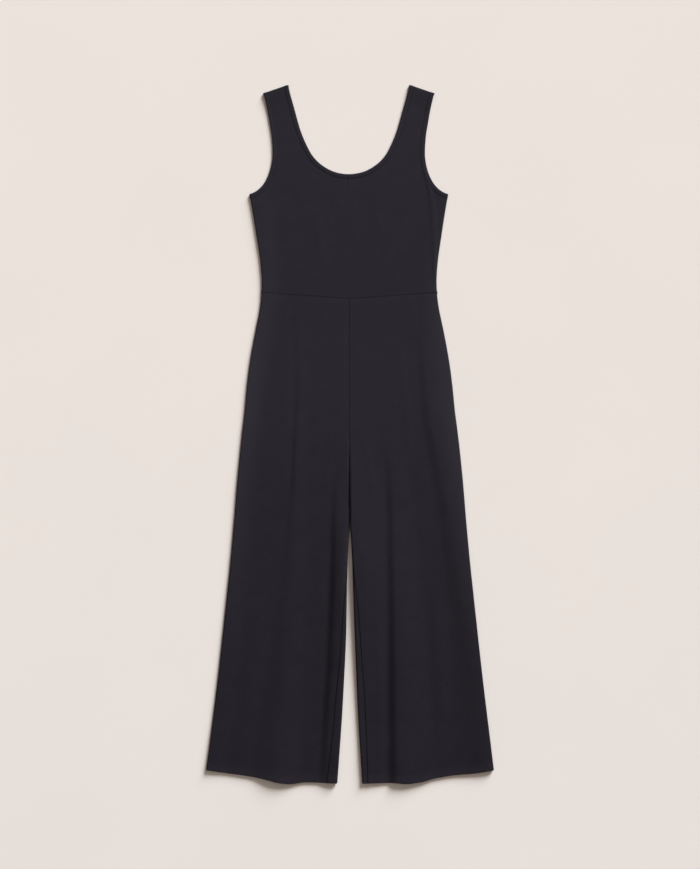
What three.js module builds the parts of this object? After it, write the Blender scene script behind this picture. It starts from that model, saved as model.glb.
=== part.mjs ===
// A sleeveless jersey one-piece laid flat on its back: a tank bodice with bound neck and armholes,
// a waist seam, and wide cropped legs that meet at a centre seam and part below the crotch.
// Millimetres, +Z up from the surface, the neck towards +Y, the wearer's right towards -X.
import * as THREE from "three";

// Cloth
const cloth = 1.2;
const seamGap = 0.3;
const inseamGap = 0.4;
const layerRest = 0.7;
const layerStep = cloth + layerRest;
const hemDepth = 22;
const hemExtra = 0.5;
const bindingWidth = 9;
const bindingThickness = 1.6;
const bindingProud = 0.2;

// How the edges roll over where front and back are sewn together
const sideRoll = 1.9;
const shoulderRoll = 1.6;
const rollFade = 22;
const foldFade = 14;
const arcSteps = [0, 1 / 3, 2 / 3];

// Levels and lines of the laid garment
const shoulderTop = 698.0;
const shoulderInner = 124.5;
const shoulderSlope = 0.348;
const underarm = 479.2;
const waistCentre = 271.5;
const waistSide = 283.6;
const waistHalf = 175.7;
const centreSeam = -1.4;
const crotch = -5;
const crotchBlend = 12;
const inseamTurn = -230;
const hemLow = -698;
const inseamInset = 20;
const hemRiseStart = 40;
const foldShareBelow = 0.4;

// Half width of the body laid flat and where its middle lies, from underarm to hem
const sideSections = [
  { y: 480, half: 198.5, middle: -2.4 },
  { y: 429, half: 189.9, middle: -2.2 },
  { y: 389, half: 183.7, middle: -2.0 },
  { y: 349, half: 177.9, middle: -1.9 },
  { y: 309, half: 174.9, middle: -1.7 },
  { y: 277, half: 175.9, middle: -1.4 },
  { y: 249, half: 179.5, middle: -1.1 },
  { y: 209, half: 187.6, middle: -0.8 },
  { y: 169, half: 195.3, middle: -0.8 },
  { y: 129, half: 201.6, middle: -0.7 },
  { y: 89, half: 206.3, middle: -0.6 },
  { y: 49, half: 210.0, middle: -0.4 },
  { y: 9, half: 214.9, middle: -0.1 },
  { y: -31, half: 219.4, middle: 0.1 },
  { y: -91, half: 225.4, middle: 0.2 },
  { y: -171, half: 231.9, middle: 0.3 },
  { y: -251, half: 239.2, middle: 0.4 },
  { y: -331, half: 247.6, middle: 0.5 },
  { y: -491, half: 265.2, middle: 0.6 },
  { y: -611, half: 280.0, middle: 0.4 },
  { y: -671, half: 287.7, middle: 0.0 },
];

// Inner edge of each leg measured outward from the middle, and the radius of its rolled fold
const innerEdges = [
  { y: -5, right: 1.6, left: -1.2, roll: 0.95, lift: 0 },
  { y: -25, right: 1.9, left: 0.4, roll: 1.2, lift: 0 },
  { y: -71, right: 2.2, left: 1.0, roll: 1.6, lift: 0 },
  { y: -131, right: 2.8, left: 1.7, roll: 1.9, lift: 0.2 },
  { y: -211, right: 4.4, left: 3.8, roll: 2.1, lift: 0.5 },
  { y: -331, right: 6.4, left: 7.6, roll: 2.2, lift: 0.9 },
  { y: -411, right: 8.0, left: 9.9, roll: 2.2, lift: 1.1 },
  { y: -491, right: 11.8, left: 13.2, roll: 2.3, lift: 1.3 },
  { y: -571, right: 16.3, left: 16.8, roll: 2.3, lift: 1.4 },
  { y: -698, right: 25.4, left: 24.4, roll: 2.3, lift: 1.6 },
];

// Lower edge of each leg, from the side seam inwards
const hemEdges = {
  right: [
    { out: 288, y: -670.4 },
    { out: 252, y: -676.0 },
    { out: 204, y: -682.4 },
    { out: 172, y: -688.4 },
    { out: 142, y: -695.8 },
    { out: 118, y: -698.2 },
    { out: 88, y: -695.0 },
    { out: 40, y: -696.6 },
    { out: 22, y: -696.8 },
  ],
  left: [
    { out: 288, y: -670.4 },
    { out: 252, y: -676.8 },
    { out: 204, y: -681.4 },
    { out: 168, y: -687.6 },
    { out: 146, y: -693.6 },
    { out: 114, y: -697.6 },
    { out: 88, y: -696.0 },
    { out: 40, y: -697.0 },
    { out: 22, y: -697.4 },
  ],
};

// Folds of each leg from the side seam inwards. Each row gives the crest's distance from the
// middle, its rise, and how far its slopes run outwards and inwards.
const folds = {
  right: [
    [
      { y: 277, out: 105, rise: 0.0, outer: 12, inner: 22 },
      { y: 110, out: 97, rise: 0.9, outer: 12, inner: 24 },
      { y: 0, out: 101, rise: 1.2, outer: 12, inner: 26 },
      { y: -163, out: 108, rise: 1.6, outer: 13, inner: 30 },
      { y: -343, out: 114, rise: 2.2, outer: 15, inner: 34 },
      { y: -575, out: 122, rise: 3.8, outer: 18, inner: 36 },
      { y: -698, out: 119, rise: 5.0, outer: 22, inner: 38 },
    ],
    [
      { y: 20, out: 25, rise: 0.0, outer: 14, inner: 18 },
      { y: -101, out: 24, rise: 1.4, outer: 15, inner: 18 },
      { y: -295, out: 29, rise: 2.6, outer: 15, inner: 20 },
      { y: -481, out: 34, rise: 2.8, outer: 15, inner: 22 },
      { y: -698, out: 45, rise: 2.8, outer: 16, inner: 22 },
    ],
  ],
  left: [
    [
      { y: 277, out: 142, rise: 0.0, outer: 14, inner: 14 },
      { y: 89, out: 158, rise: 1.0, outer: 14, inner: 14 },
      { y: -71, out: 182, rise: 1.6, outer: 14, inner: 16 },
      { y: -277, out: 216, rise: 1.9, outer: 14, inner: 22 },
      { y: -389, out: 234, rise: 1.9, outer: 13, inner: 28 },
      { y: -698, out: 266, rise: 1.8, outer: 13, inner: 48 },
    ],
    [
      { y: 40, out: 84, rise: 0.0, outer: 44, inner: 16 },
      { y: -45, out: 90, rise: 1.4, outer: 46, inner: 17 },
      { y: -157, out: 98, rise: 2.8, outer: 48, inner: 18 },
      { y: -389, out: 106, rise: 3.8, outer: 54, inner: 20 },
      { y: -698, out: 106, rise: 5.2, outer: 60, inner: 22 },
    ],
  ],
};

// Finished neck edge from its lowest point to the shoulder, distances from the middle
const neckEdge = [
  { out: 0, y: 520.4 },
  { out: 20, y: 522.6 },
  { out: 38.4, y: 529 },
  { out: 57.1, y: 541 },
  { out: 69.2, y: 553 },
  { out: 77.8, y: 565.5 },
  { out: 89.2, y: 589 },
  { out: 98.2, y: 613 },
  { out: 108.2, y: 649 },
  { out: 117.2, y: 681 },
  { out: 121.2, y: 698.3 },
];

// Finished armhole edge from the side seam to the shoulder
const armholeEdge = [
  { out: 199, y: 479.2 },
  { out: 190, y: 483.4 },
  { out: 181, y: 489.2 },
  { out: 172.4, y: 498 },
  { out: 166.4, y: 507 },
  { out: 160.2, y: 520 },
  { out: 155.6, y: 535 },
  { out: 152.8, y: 551 },
  { out: 152.2, y: 566 },
  { out: 152.9, y: 582 },
  { out: 154.6, y: 600 },
  { out: 158.3, y: 622 },
  { out: 163.2, y: 650 },
  { out: 170.8, y: 682.6 },
];

const legs = [
  { name: "right", side: -1 },
  { name: "left", side: 1 },
];
const front = 1;
const back = -1;

function clamp(value, low, high) {
  return Math.min(Math.max(value, low), high);
}

// One at zero, none from one on, with level ends
function fade(share) {
  const angle = (clamp(share, 0, 1) * Math.PI) / 2;
  return Math.cos(angle) ** 2;
}

function mix(from, to, share) {
  return from + (to - from) * share;
}

// Smooth value of a table's column, its rows running from high to low in the key column
function along(rows, at, column, key = "y") {
  const last = rows.length - 1;
  if (at >= rows[0][key]) return rows[0][column];
  if (at <= rows[last][key]) return rows[last][column];
  const i = rows.findIndex((row) => row[key] <= at) - 1;
  const slope = (k) => {
    const before = rows[Math.max(k - 1, 0)];
    const after = rows[Math.min(k + 1, last)];
    return (after[column] - before[column]) / (after[key] - before[key]);
  };
  const span = rows[i + 1][key] - rows[i][key];
  const f = (at - rows[i][key]) / span;
  const straight = mix(rows[i][column], rows[i + 1][column], f * f * (3 - 2 * f));
  return straight + f * (1 - f) * span * (slope(i) * (1 - f) - slope(i + 1) * f);
}

function waistLine(out) {
  return mix(waistCentre, waistSide, clamp(Math.abs(out) / waistHalf, 0, 1));
}

function shoulderSeam(out) {
  const edge = shoulderTop - shoulderSlope * Math.max(out - shoulderInner, 0);
  return edge - cloth / 2 - shoulderRoll + (Math.PI / 2) * shoulderRoll;
}

// Centre of the side roll, measured outward from the body's middle
function sideCentre(y) {
  return along(sideSections, y, "half") - cloth / 2 - sideRoll;
}

// A point of the bodice, from its place on the cloth smoothed out flat
function bodicePoint(face, side, out, y) {
  const rollCentre = sideCentre(y);
  const topCentre = shoulderSeam(out) - (Math.PI / 2) * shoulderRoll;
  const sewn = fade((y - underarm) / rollFade);
  const low = cloth / 2;
  const bySide = (2 * sideRoll - layerStep) * fade((rollCentre - out) / rollFade) * sewn;
  const byTop = (2 * shoulderRoll - layerStep) * fade((topCentre - y) / rollFade);
  const high = low + layerStep + bySide + byTop;
  const sideAngle = Math.max(out - rollCentre, 0) / sideRoll;
  const topAngle = Math.max(y - topCentre, 0) / shoulderRoll;
  const plan = Math.min(out, rollCentre) + sideRoll * Math.sin(sideAngle);
  const up = Math.min(y, topCentre) + shoulderRoll * Math.sin(topAngle);
  const drop = ((2 - Math.cos(sideAngle) - Math.cos(topAngle)) * (high - low)) / 2;
  const z = face === front ? high - drop : low + drop;
  return new THREE.Vector3(along(sideSections, y, "middle") + side * plan, up, z);
}

function foldRise(leg, out, y) {
  return folds[leg.name].reduce((sum, fold) => {
    const offset = out - along(fold, y, "out");
    const reach = along(fold, y, offset > 0 ? "outer" : "inner");
    return sum + along(fold, y, "rise") * fade(Math.abs(offset) / reach);
  }, 0);
}

// Where the rolls of a leg's section lie at one level
function legSection(leg, y) {
  const roll = along(innerEdges, y, "roll");
  const curl = clamp((crotch - y) / crotchBlend, 0.001, 1);
  const bend = Math.sin((curl * Math.PI) / 2);
  const outerEdge = along(sideSections, y, "half") + leg.side * along(sideSections, y, "middle");
  const seamEdge = leg.side * centreSeam + seamGap / 2;
  const innerEdge = y > crotch ? seamEdge : along(innerEdges, y, leg.name);
  const outerCentre = outerEdge - cloth / 2 - sideRoll;
  const innerCentre = innerEdge + bend * (roll / curl + cloth / 2);
  return { roll, curl, arc: (roll * Math.PI) / 2, outerCentre, innerCentre };
}

function hemLine(leg, out) {
  return along(hemEdges[leg.name], out, "y", "out");
}

// A point of a leg. The way round its section runs from zero at the inner fold, positive over
// the front and negative under the back, to the side seam.
function legPoint(leg, way, y) {
  const section = legSection(leg, y);
  const over = way < 0 ? back : front;
  const reach = Math.abs(way) - section.arc;
  const width = section.outerCentre - section.innerCentre;
  const out = section.innerCentre + clamp(reach, 0, width);
  const rise = foldRise(leg, out, y);
  const nearInner = fade((out - section.innerCentre) / foldFade);
  const nearOuter = fade((section.outerCentre - out) / rollFade);
  const nearHem = fade((y - hemLine(leg, out) - hemDepth) / (hemRiseStart - hemDepth));
  const lift = Math.max(along(innerEdges, y, "lift"), 0) * nearInner;
  const low = cloth / 2 + lift + foldShareBelow * rise;
  const byInner = (2 * section.roll - layerStep) * nearInner;
  const byOuter = (2 * sideRoll - layerStep) * nearOuter;
  const apart = layerStep + byInner + byOuter + (1 - foldShareBelow) * rise + 2 * hemExtra * nearHem;
  let plan = out;
  let drop = 0;
  if (reach < 0) {
    const angle = (-reach * section.curl) / section.roll;
    plan -= (Math.sin(angle) * section.roll) / section.curl;
    drop = ((1 - Math.cos(angle)) * apart) / 2 / section.curl;
  }
  if (reach > width) {
    const angle = (reach - width) / sideRoll;
    plan += Math.sin(angle) * sideRoll;
    drop = ((1 - Math.cos(angle)) * apart) / 2;
  }
  const z = over === front ? low + apart - drop : low + drop;
  return new THREE.Vector3(leg.side * plan, y, z);
}

// A point with the outward direction of the surface that it lies on
function surfacePoint(pointAt, a, b, sign) {
  const step = 0.02;
  const alongA = pointAt(a + step, b).sub(pointAt(a - step, b));
  const alongB = pointAt(a, b + step).sub(pointAt(a, b - step));
  const normal = alongA.cross(alongB).normalize().multiplyScalar(sign);
  return { point: pointAt(a, b), normal };
}

// A closed wall round a sheet of quads: each vertex has a point, a normal, and what the wall
// reaches to its outer and inner side.
function wall(vertices, quads) {
  const [a, b, , d] = quads[0].map((index) => vertices[index]);
  const across = b.point.clone().sub(a.point);
  const facing = across.cross(d.point.clone().sub(a.point)).dot(a.normal);
  const faces = facing > 0 ? quads : quads.map((quad) => [...quad].reverse());
  const shifted = (vertex, distance) => vertex.point.clone().addScaledVector(vertex.normal, distance);
  const outside = vertices.map((vertex) => shifted(vertex, vertex.outer));
  const inside = vertices.map((vertex) => shifted(vertex, -vertex.inner));
  const below = vertices.length;
  const triangles = [];
  const addQuad = (p, q, r, s) => triangles.push(p, q, r, p, r, s);
  const edges = new Set();
  for (const quad of faces) {
    quad.forEach((from, k) => edges.add(`${from} ${quad[(k + 1) % 4]}`));
    const [p, q, r, s] = quad;
    addQuad(p, q, r, s);
    addQuad(s + below, r + below, q + below, p + below);
  }
  for (const edge of edges) {
    const [from, to] = edge.split(" ").map(Number);
    if (!edges.has(`${to} ${from}`)) addQuad(to, from, from + below, to + below);
  }
  const positions = [...outside, ...inside].flatMap((point) => point.toArray());
  const geometry = new THREE.BufferGeometry();
  geometry.setAttribute("position", new THREE.Float32BufferAttribute(positions, 3));
  geometry.setIndex(triangles);
  geometry.computeVertexNormals();
  return geometry;
}

// Quads between the neighbouring rows and columns of a grid of vertex numbers
function gridQuads(grid, closed = false) {
  const quads = [];
  const rowCount = closed ? grid.length : grid.length - 1;
  for (let row = 0; row < rowCount; row += 1) {
    const next = grid[(row + 1) % grid.length];
    for (let column = 0; column + 1 < next.length; column += 1) {
      quads.push([grid[row][column], grid[row][column + 1], next[column + 1], next[column]]);
    }
  }
  return quads;
}

// The edge curves of the bodice, each station with its place on the edge and into the cloth
const neckCurve = new THREE.CatmullRomCurve3(
  [...neckEdge.slice(1).reverse().map((row) => new THREE.Vector3(-row.out, row.y, 0)),
    ...neckEdge.map((row) => new THREE.Vector3(row.out, row.y, 0))],
);
const armholeCurve = new THREE.CatmullRomCurve3(
  armholeEdge.map((row) => new THREE.Vector3(row.out, row.y, 0)),
);
neckCurve.arcLengthDivisions = 2000;
armholeCurve.arcLengthDivisions = 2000;

// Distances along an edge from its lower end, closer where it bends over at its ends
function edgeStations(length, count, lowRoll) {
  const quarter = (Math.PI / 2) * shoulderRoll;
  const top = [quarter + 10, quarter, quarter * arcSteps[2], quarter * arcSteps[1], 0];
  const lower = lowRoll ? arcSteps.map((share) => share * (Math.PI / 2) * lowRoll) : [];
  const first = lowRoll ? (Math.PI / 2) * lowRoll : 0;
  const middle = Array.from({ length: count }, (_, k) => mix(first, length - top[0], k / count));
  return [...lower, ...middle, ...top.map((distance) => length - distance)];
}

const neckHalfLength = neckCurve.getLength() / 2;
const armholeLength = armholeCurve.getLength();
const neckStations = edgeStations(neckHalfLength, 12, 0);
const armholeStations = edgeStations(armholeLength, 11, sideRoll);

// A place on the smoothed-out cloth, a distance in from the neck edge
function neckPlace(distance, inward) {
  const share = 0.5 + distance / (2 * neckHalfLength);
  const tangent = neckCurve.getTangentAt(Math.min(share, 1));
  const edge = neckCurve.getPointAt(Math.min(share, 1));
  const place = { out: edge.x + tangent.y * inward, y: edge.y - tangent.x * inward };
  return atShoulder(place, neckHalfLength - distance);
}

// The same from the armhole edge, which leaves the side seam square to it
function armholePlace(distance, inward) {
  const share = clamp(distance / armholeLength, 0, 1);
  const tangent = armholeCurve.getTangentAt(share);
  const edge = armholeCurve.getPointAt(share);
  const turn = new THREE.Vector2(-tangent.y, tangent.x);
  turn.lerp(new THREE.Vector2(0, -1), fade(distance / 16)).normalize();
  const place = { out: edge.x + turn.x * inward, y: edge.y + turn.y * inward };
  const seamOut = sideCentre(place.y) + (Math.PI / 2) * sideRoll;
  place.out = mix(place.out, seamOut - 0.93 * distance, fade((distance - 4) / 8));
  return atShoulder(place, armholeLength - distance);
}

// Near the shoulder seam a place keeps its distance from the seam
function atShoulder(place, distance) {
  const level = shoulderSeam(place.out) - distance;
  const share = fade((distance - 4) / 8);
  return { out: place.out, y: mix(place.y, level, share) };
}

// Places across one half of a bodice panel, a row from the side or armhole to the middle or neck
function bodiceRows() {
  const quarter = (Math.PI / 2) * sideRoll;
  const seam = seamGap / 2;
  const inward = bindingWidth + seam;
  const armholeRow = 6;
  const neckRow = 8;
  const rowCount = armholeRow + armholeStations.length;
  const corner = armholePlace(0, inward);
  const neckBottom = neckPlace(0, inward);
  return Array.from({ length: rowCount }, (_, row) => {
    const closing = rowCount - 1 - row;
    const outerPlace = row < armholeRow
      ? { out: 0, y: mix(waistSide + seam, corner.y, row / armholeRow) }
      : armholePlace(armholeStations[row - armholeRow], inward);
    if (row <= armholeRow) outerPlace.out = sideCentre(outerPlace.y) + quarter - seam;
    const innerPlace = row < neckRow
      ? { out: 0, y: mix(waistCentre + seam, neckBottom.y, row / neckRow) }
      : neckPlace(neckStations[neckStations.length - 1 - closing], inward);
    if (closing === 0) {
      outerPlace.y -= seam;
      innerPlace.y -= seam;
    }
    const length = Math.hypot(outerPlace.out - innerPlace.out, outerPlace.y - innerPlace.y);
    const nearEdge = [...arcSteps.map((share) => share * quarter), quarter, quarter + 9];
    const shares = nearEdge.map((distance) => distance / length);
    const start = shares[shares.length - 1];
    for (const share of [0.2, 0.4, 0.6, 0.8, 1]) shares.push(mix(start, 1, share));
    return shares.map((share) => {
      const out = mix(outerPlace.out, innerPlace.out, share);
      const straight = mix(outerPlace.y, innerPlace.y, share);
      const y = row === 0 ? waistLine(out) + seam : straight;
      const joined = share === 1 && row <= neckRow;
      return { out, y, joined };
    });
  });
}

function bodicePanel(face) {
  const rows = bodiceRows();
  const vertices = [];
  const middles = new Map();
  const vertexAt = (side, place) => {
    const pointAt = (out, y) => bodicePoint(face, side, out, y);
    const surface = surfacePoint(pointAt, place.out, place.y, side * face);
    if (place.joined) surface.normal.x = 0;
    vertices.push({ ...surface, outer: cloth / 2, inner: cloth / 2 });
    return vertices.length - 1;
  };
  const quads = [-1, 1].flatMap((side) => {
    const grid = rows.map((places, row) => places.map((place) => {
      if (!place.joined) return vertexAt(side, place);
      if (!middles.has(row)) middles.set(row, vertexAt(side, place));
      return middles.get(row);
    }));
    return gridQuads(side > 0 ? grid : grid.map((numbers) => [...numbers].reverse()));
  });
  return wall(vertices, quads);
}

// A folded strip round an opening, along its edge on the front and back again on the back
function bindingLoop(places) {
  const vertices = [];
  const grid = places.map((cross) => cross.map(({ face, side, out, y }) => {
    const pointAt = (a, b) => bodicePoint(face, side, a, b);
    const surface = surfacePoint(pointAt, out, y, side * face);
    surface.point.z += bindingProud * Math.abs(surface.normal.z);
    vertices.push({ ...surface, outer: bindingThickness / 2, inner: bindingThickness / 2 });
    return vertices.length - 1;
  }));
  return wall(vertices, gridQuads(grid, true));
}

const bindingAcross = [0, bindingWidth / 2, bindingWidth - seamGap / 2];

function neckBinding() {
  const crossing = (side, face) => (distance) => bindingAcross.map((inward) => (
    { face, side, ...neckPlace(distance, inward) }
  ));
  const rising = neckStations;
  const falling = [...neckStations].reverse();
  return bindingLoop([
    ...falling.map(crossing(-1, front)),
    ...rising.slice(1).map(crossing(1, front)),
    ...falling.slice(1).map(crossing(1, back)),
    ...rising.slice(1, -1).map(crossing(-1, back)),
  ]);
}

function armholeBinding(side) {
  const crossing = (face) => (distance) => bindingAcross.map((inward) => (
    { face, side, ...armholePlace(distance, inward) }
  ));
  const falling = [...armholeStations].reverse();
  return bindingLoop([
    ...falling.map(crossing(front)),
    ...armholeStations.slice(1, -1).map(crossing(back)),
  ]);
}

// Lines that the columns of a leg follow, from the side roll inwards
function legGuides(leg) {
  const guides = [
    (y) => legSection(leg, y).outerCentre,
    (y) => legSection(leg, y).outerCentre - rollFade / 2,
    (y) => legSection(leg, y).outerCentre - rollFade,
  ];
  for (const fold of folds[leg.name]) {
    for (const share of [1, 0.5, 0, -0.5, -1]) {
      const column = share > 0 ? "outer" : "inner";
      guides.push((y) => along(fold, y, "out") + share * along(fold, y, column));
    }
  }
  guides.push((y) => legSection(leg, y).innerCentre + foldFade / 2);
  guides.push((y) => legSection(leg, y).innerCentre);
  return withBetween(guides);
}

// Adds lines between guides that lie far apart
function withBetween(guides) {
  const widest = 42;
  const level = -300;
  return guides.flatMap((guide, k) => {
    if (k === 0) return [guide];
    const before = guides[k - 1];
    const count = Math.max(Math.ceil((before(level) - guide(level)) / widest), 1);
    return Array.from({ length: count }, (_, n) => (
      (y) => mix(before(y), guide(y), (n + 1) / count)
    ));
  });
}

// The guides' places at one level, in order and never closer than a least spacing
function placesAt(guides, y) {
  const least = 1.6;
  const places = guides.map((guide) => guide(y));
  const last = places.length - 1;
  for (let k = 1; k < last; k += 1) places[k] = Math.min(places[k], places[k - 1] - least);
  for (let k = last - 1; k > 0; k -= 1) places[k] = Math.max(places[k], places[k + 1] + least);
  return places;
}

const legLevels = [
  waistCentre, 240, 200, 155, 105, 50, 15, crotch, crotch - crotchBlend, -45, -90, -145, -200,
  -230, -255, -280, -305, -350, -410, -480, -550, -615, -656, hemLow + hemDepth + 2, hemLow + hemDepth, hemLow,
];

function legLevel(leg, row, out) {
  const share = (waistCentre - legLevels[row]) / (waistCentre - hemLow);
  const top = waistLine(out) - seamGap / 2;
  return mix(top, hemLine(leg, out), share);
}

// How far the back panel reaches round the inner fold onto the front
function inseamWay(y) {
  const share = clamp((inseamTurn - y) / (inseamTurn - hemLow), 0, 1);
  return inseamInset * share;
}

// Ways round the section for one panel at one level, from the side seam to the inseam
function panelWays(leg, face, guides, y) {
  const section = legSection(leg, y);
  const seam = seamGap / 2;
  const width = section.outerCentre - section.innerCentre;
  const quarter = (Math.PI / 2) * sideRoll;
  const arcs = arcSteps.map((share) => section.arc + width + quarter * (1 - share));
  arcs[0] -= seam;
  const tops = placesAt(guides, y).map((out) => section.arc + out - section.innerCentre);
  const ways = [...arcs, ...tops];
  const end = inseamWay(y);
  if (face === front) {
    ways.push(section.arc * (2 / 3), section.arc / 3, 0);
    const last = ways.length - 1;
    return ways.map((way, k) => Math.max(way, end + inseamGap / 2 + (last - k) * 0.7));
  }
  const under = ways.map((way) => -way);
  under.push(-section.arc / 2, 0, section.arc / 2, section.arc, (section.arc + end) / 2, end);
  const last = under.length - 1;
  return under.map((way, k) => Math.min(way, end - inseamGap / 2 - (last - k) * 0.25));
}

function legPanel(leg, face) {
  const guides = legGuides(leg);
  const pointAt = (way, y) => legPoint(leg, way, y);
  const columnCount = panelWays(leg, face, guides, crotch).length;
  const vertices = [];
  const grid = legLevels.map((_, row) => Array.from({ length: columnCount }, (__, column) => {
    let y = legLevels[row];
    let way = 0;
    let out = 0;
    for (let pass = 0; pass < 4; pass += 1) {
      way = panelWays(leg, face, guides, y)[column];
      out = Math.abs(legPoint(leg, way, y).x);
      y = legLevel(leg, row, out);
    }
    const surface = surfacePoint(pointAt, way, y, leg.side);
    const inHem = row >= legLevels.length - 2 ? hemExtra : 0;
    vertices.push({ ...surface, outer: cloth / 2, inner: cloth / 2 + inHem });
    return vertices.length - 1;
  }));
  return wall(vertices, gridQuads(grid));
}

const jersey = { color: 0x2b292f, roughness: 0.92, metalness: 0 };
const bindingJersey = { color: 0x2c2a30, roughness: 0.88, metalness: 0 };

function piece(name, geometry, finish) {
  const mesh = new THREE.Mesh(geometry, new THREE.MeshStandardMaterial(finish));
  mesh.name = name;
  return mesh;
}

const jumpsuit = new THREE.Group();
jumpsuit.add(piece("front_bodice", bodicePanel(front), jersey));
jumpsuit.add(piece("back_bodice", bodicePanel(back), jersey));
for (const leg of legs) {
  jumpsuit.add(piece(`front_leg_${leg.name}`, legPanel(leg, front), jersey));
  jumpsuit.add(piece(`back_leg_${leg.name}`, legPanel(leg, back), jersey));
  jumpsuit.add(piece(`armhole_binding_${leg.name}`, armholeBinding(leg.side), bindingJersey));
}
jumpsuit.add(piece("neck_binding", neckBinding(), bindingJersey));

export default jumpsuit;
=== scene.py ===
# Sleeveless jersey jumpsuit laid flat: cloth over the fixed model, strips, stitches, finish, light
import math

import bpy
import numpy as np
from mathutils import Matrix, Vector


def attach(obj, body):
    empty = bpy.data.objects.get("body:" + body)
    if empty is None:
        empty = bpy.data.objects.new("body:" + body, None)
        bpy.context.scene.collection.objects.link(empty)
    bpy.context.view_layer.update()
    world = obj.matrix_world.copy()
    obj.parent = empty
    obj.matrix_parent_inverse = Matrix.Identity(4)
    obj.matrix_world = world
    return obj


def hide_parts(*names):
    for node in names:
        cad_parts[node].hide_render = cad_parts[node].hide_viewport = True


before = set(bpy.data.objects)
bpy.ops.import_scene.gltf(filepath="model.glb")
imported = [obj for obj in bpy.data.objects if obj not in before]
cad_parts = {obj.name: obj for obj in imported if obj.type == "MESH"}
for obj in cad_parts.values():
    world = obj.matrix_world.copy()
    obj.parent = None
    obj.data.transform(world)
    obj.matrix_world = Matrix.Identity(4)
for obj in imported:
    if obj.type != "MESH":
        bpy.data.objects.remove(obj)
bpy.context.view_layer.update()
bpy.ops.object.select_all(action="DESELECT")
print("frame loaded:", len(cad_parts), "nodes")

# Patterns are worked out in millimetres and become metres when a mesh is made
millimetre = 0.001
front = 1
back = -1


def table(names, *rows):
    columns = names.split()
    return {name: np.array([row[i] for row in rows], float) for i, name in enumerate(columns)}


# A ridge or, where its rise is below zero, a hollow
def ridge(*rows):
    return table("y x rise width", *rows)


def foldTable(*rows):
    return table("y out rise outer inner", *rows)


cloth = {
    "wall": 1.2,            # one layer of jersey
    "apart": 1.9,           # centre to centre of two layers that lie on each other
    "seamHalf": 0.03,       # what is left between two sewn edges, each side
    "seamSteep": 0.8,       # how far the higher side of a seam is drawn in beside it
    "seamGentle": 7.0,      # and the lower side, over which the seam's turnings are pressed
    "seamDepth": 0.4,
    "hemDepth": 22.0,
    "hemExtra": 0.5,
    "hemLift": 0.2,         # the stitches below hold the hem this far off the floor
    "deepest": -0.2,        # the lowest that the slow unevenness goes
    "grid": 4.0,            # spacing of the cloth's mesh where it lies smooth
}

seams = {
    "bulk": 0.9,            # the waist seam stands out this far at the sides
    "bulkReach": 3.0,
    "side": 0.2,            # shares of the seam depth: side seams,
    "ends": 0.5,            # the bodice's other edges,
    "upper": 0.6,           # and the legs' seams above the crotch, below which they are deeper
    "deepening": 30.0,
    "tint": 0.3,            # painted shade: darker cloth in a seam
    "paintedShadeReach": 0.7,
}

rolls = {
    "side": 1.9,
    "shoulder": 1.6,
    "fade": 46.0,
    "quiet": 12.0,          # creases die out this close to a fold
    "shareBelow": 0.4,      # how much of a fold the back layer follows
}

levels = {
    "shoulderTop": 698.0,
    "shoulderInner": 124.5,
    "shoulderSlope": 0.348,
    "underarm": 479.2,
    "waistCentre": 271.5,
    "waistSide": 283.6,
    "waistHalf": 177.1,
    "centreSeam": -1.4,
    "crotch": -5.0,
    "crotchBlend": 12.0,
    "hemLow": -698.0,
    "hemRiseStart": 130.0,
}

binding = {
    "width": 9.0,
    "thickness": 1.6,
    "proud": 0.12,
    "restBelow": 0.4,
    "edgeRound": 1.1,
    "crown": 0.12,
    "least": 0.05,
    "bulge": 0.9,           # bulk where the strip crosses a seam
    "bulgeReach": 3.8,
    "sewnAt": 2.2,          # the stitches' distance from the strip's inner edge
    "seamDip": 0.2,
    "seamDipReach": 0.9,
    "stitchDip": 0.1,
    "stitchDipReach": 0.7,
    "paling": 0.4,
    "palingReach": 1.4,
    "paintedShadeReach": 0.6,
    "turn": 16.0,           # the armhole's edge turns square to the side seam over this length
    "lean": 0.93,           # and beside the seam it runs inwards this much for its length
    "keep": 4.0,            # an edge runs with a seam up to this distance, and then less and less
    "keepFade": 8.0,
}

# Half width of the body laid flat and where its middle lies
sideSections = table(
    "y half middle",
    (480, 198.5, -2.4), (429, 189.9, -2.2), (389, 183.7, -2.0), (349, 177.9, -1.9),
    (309, 174.9, -1.7), (277, 175.9, -1.4), (249, 179.5, -1.1), (209, 187.6, -0.8),
    (169, 195.3, -0.8), (129, 201.6, -0.7), (89, 206.3, -0.6), (49, 210.0, -0.4),
    (9, 214.9, -0.1), (-31, 219.4, 0.1), (-91, 225.4, 0.2), (-171, 231.9, 0.3),
    (-251, 239.2, 0.4), (-331, 247.6, 0.5), (-491, 265.2, 0.6), (-611, 280.0, 0.4),
    (-671, 287.7, 0),
)

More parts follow.
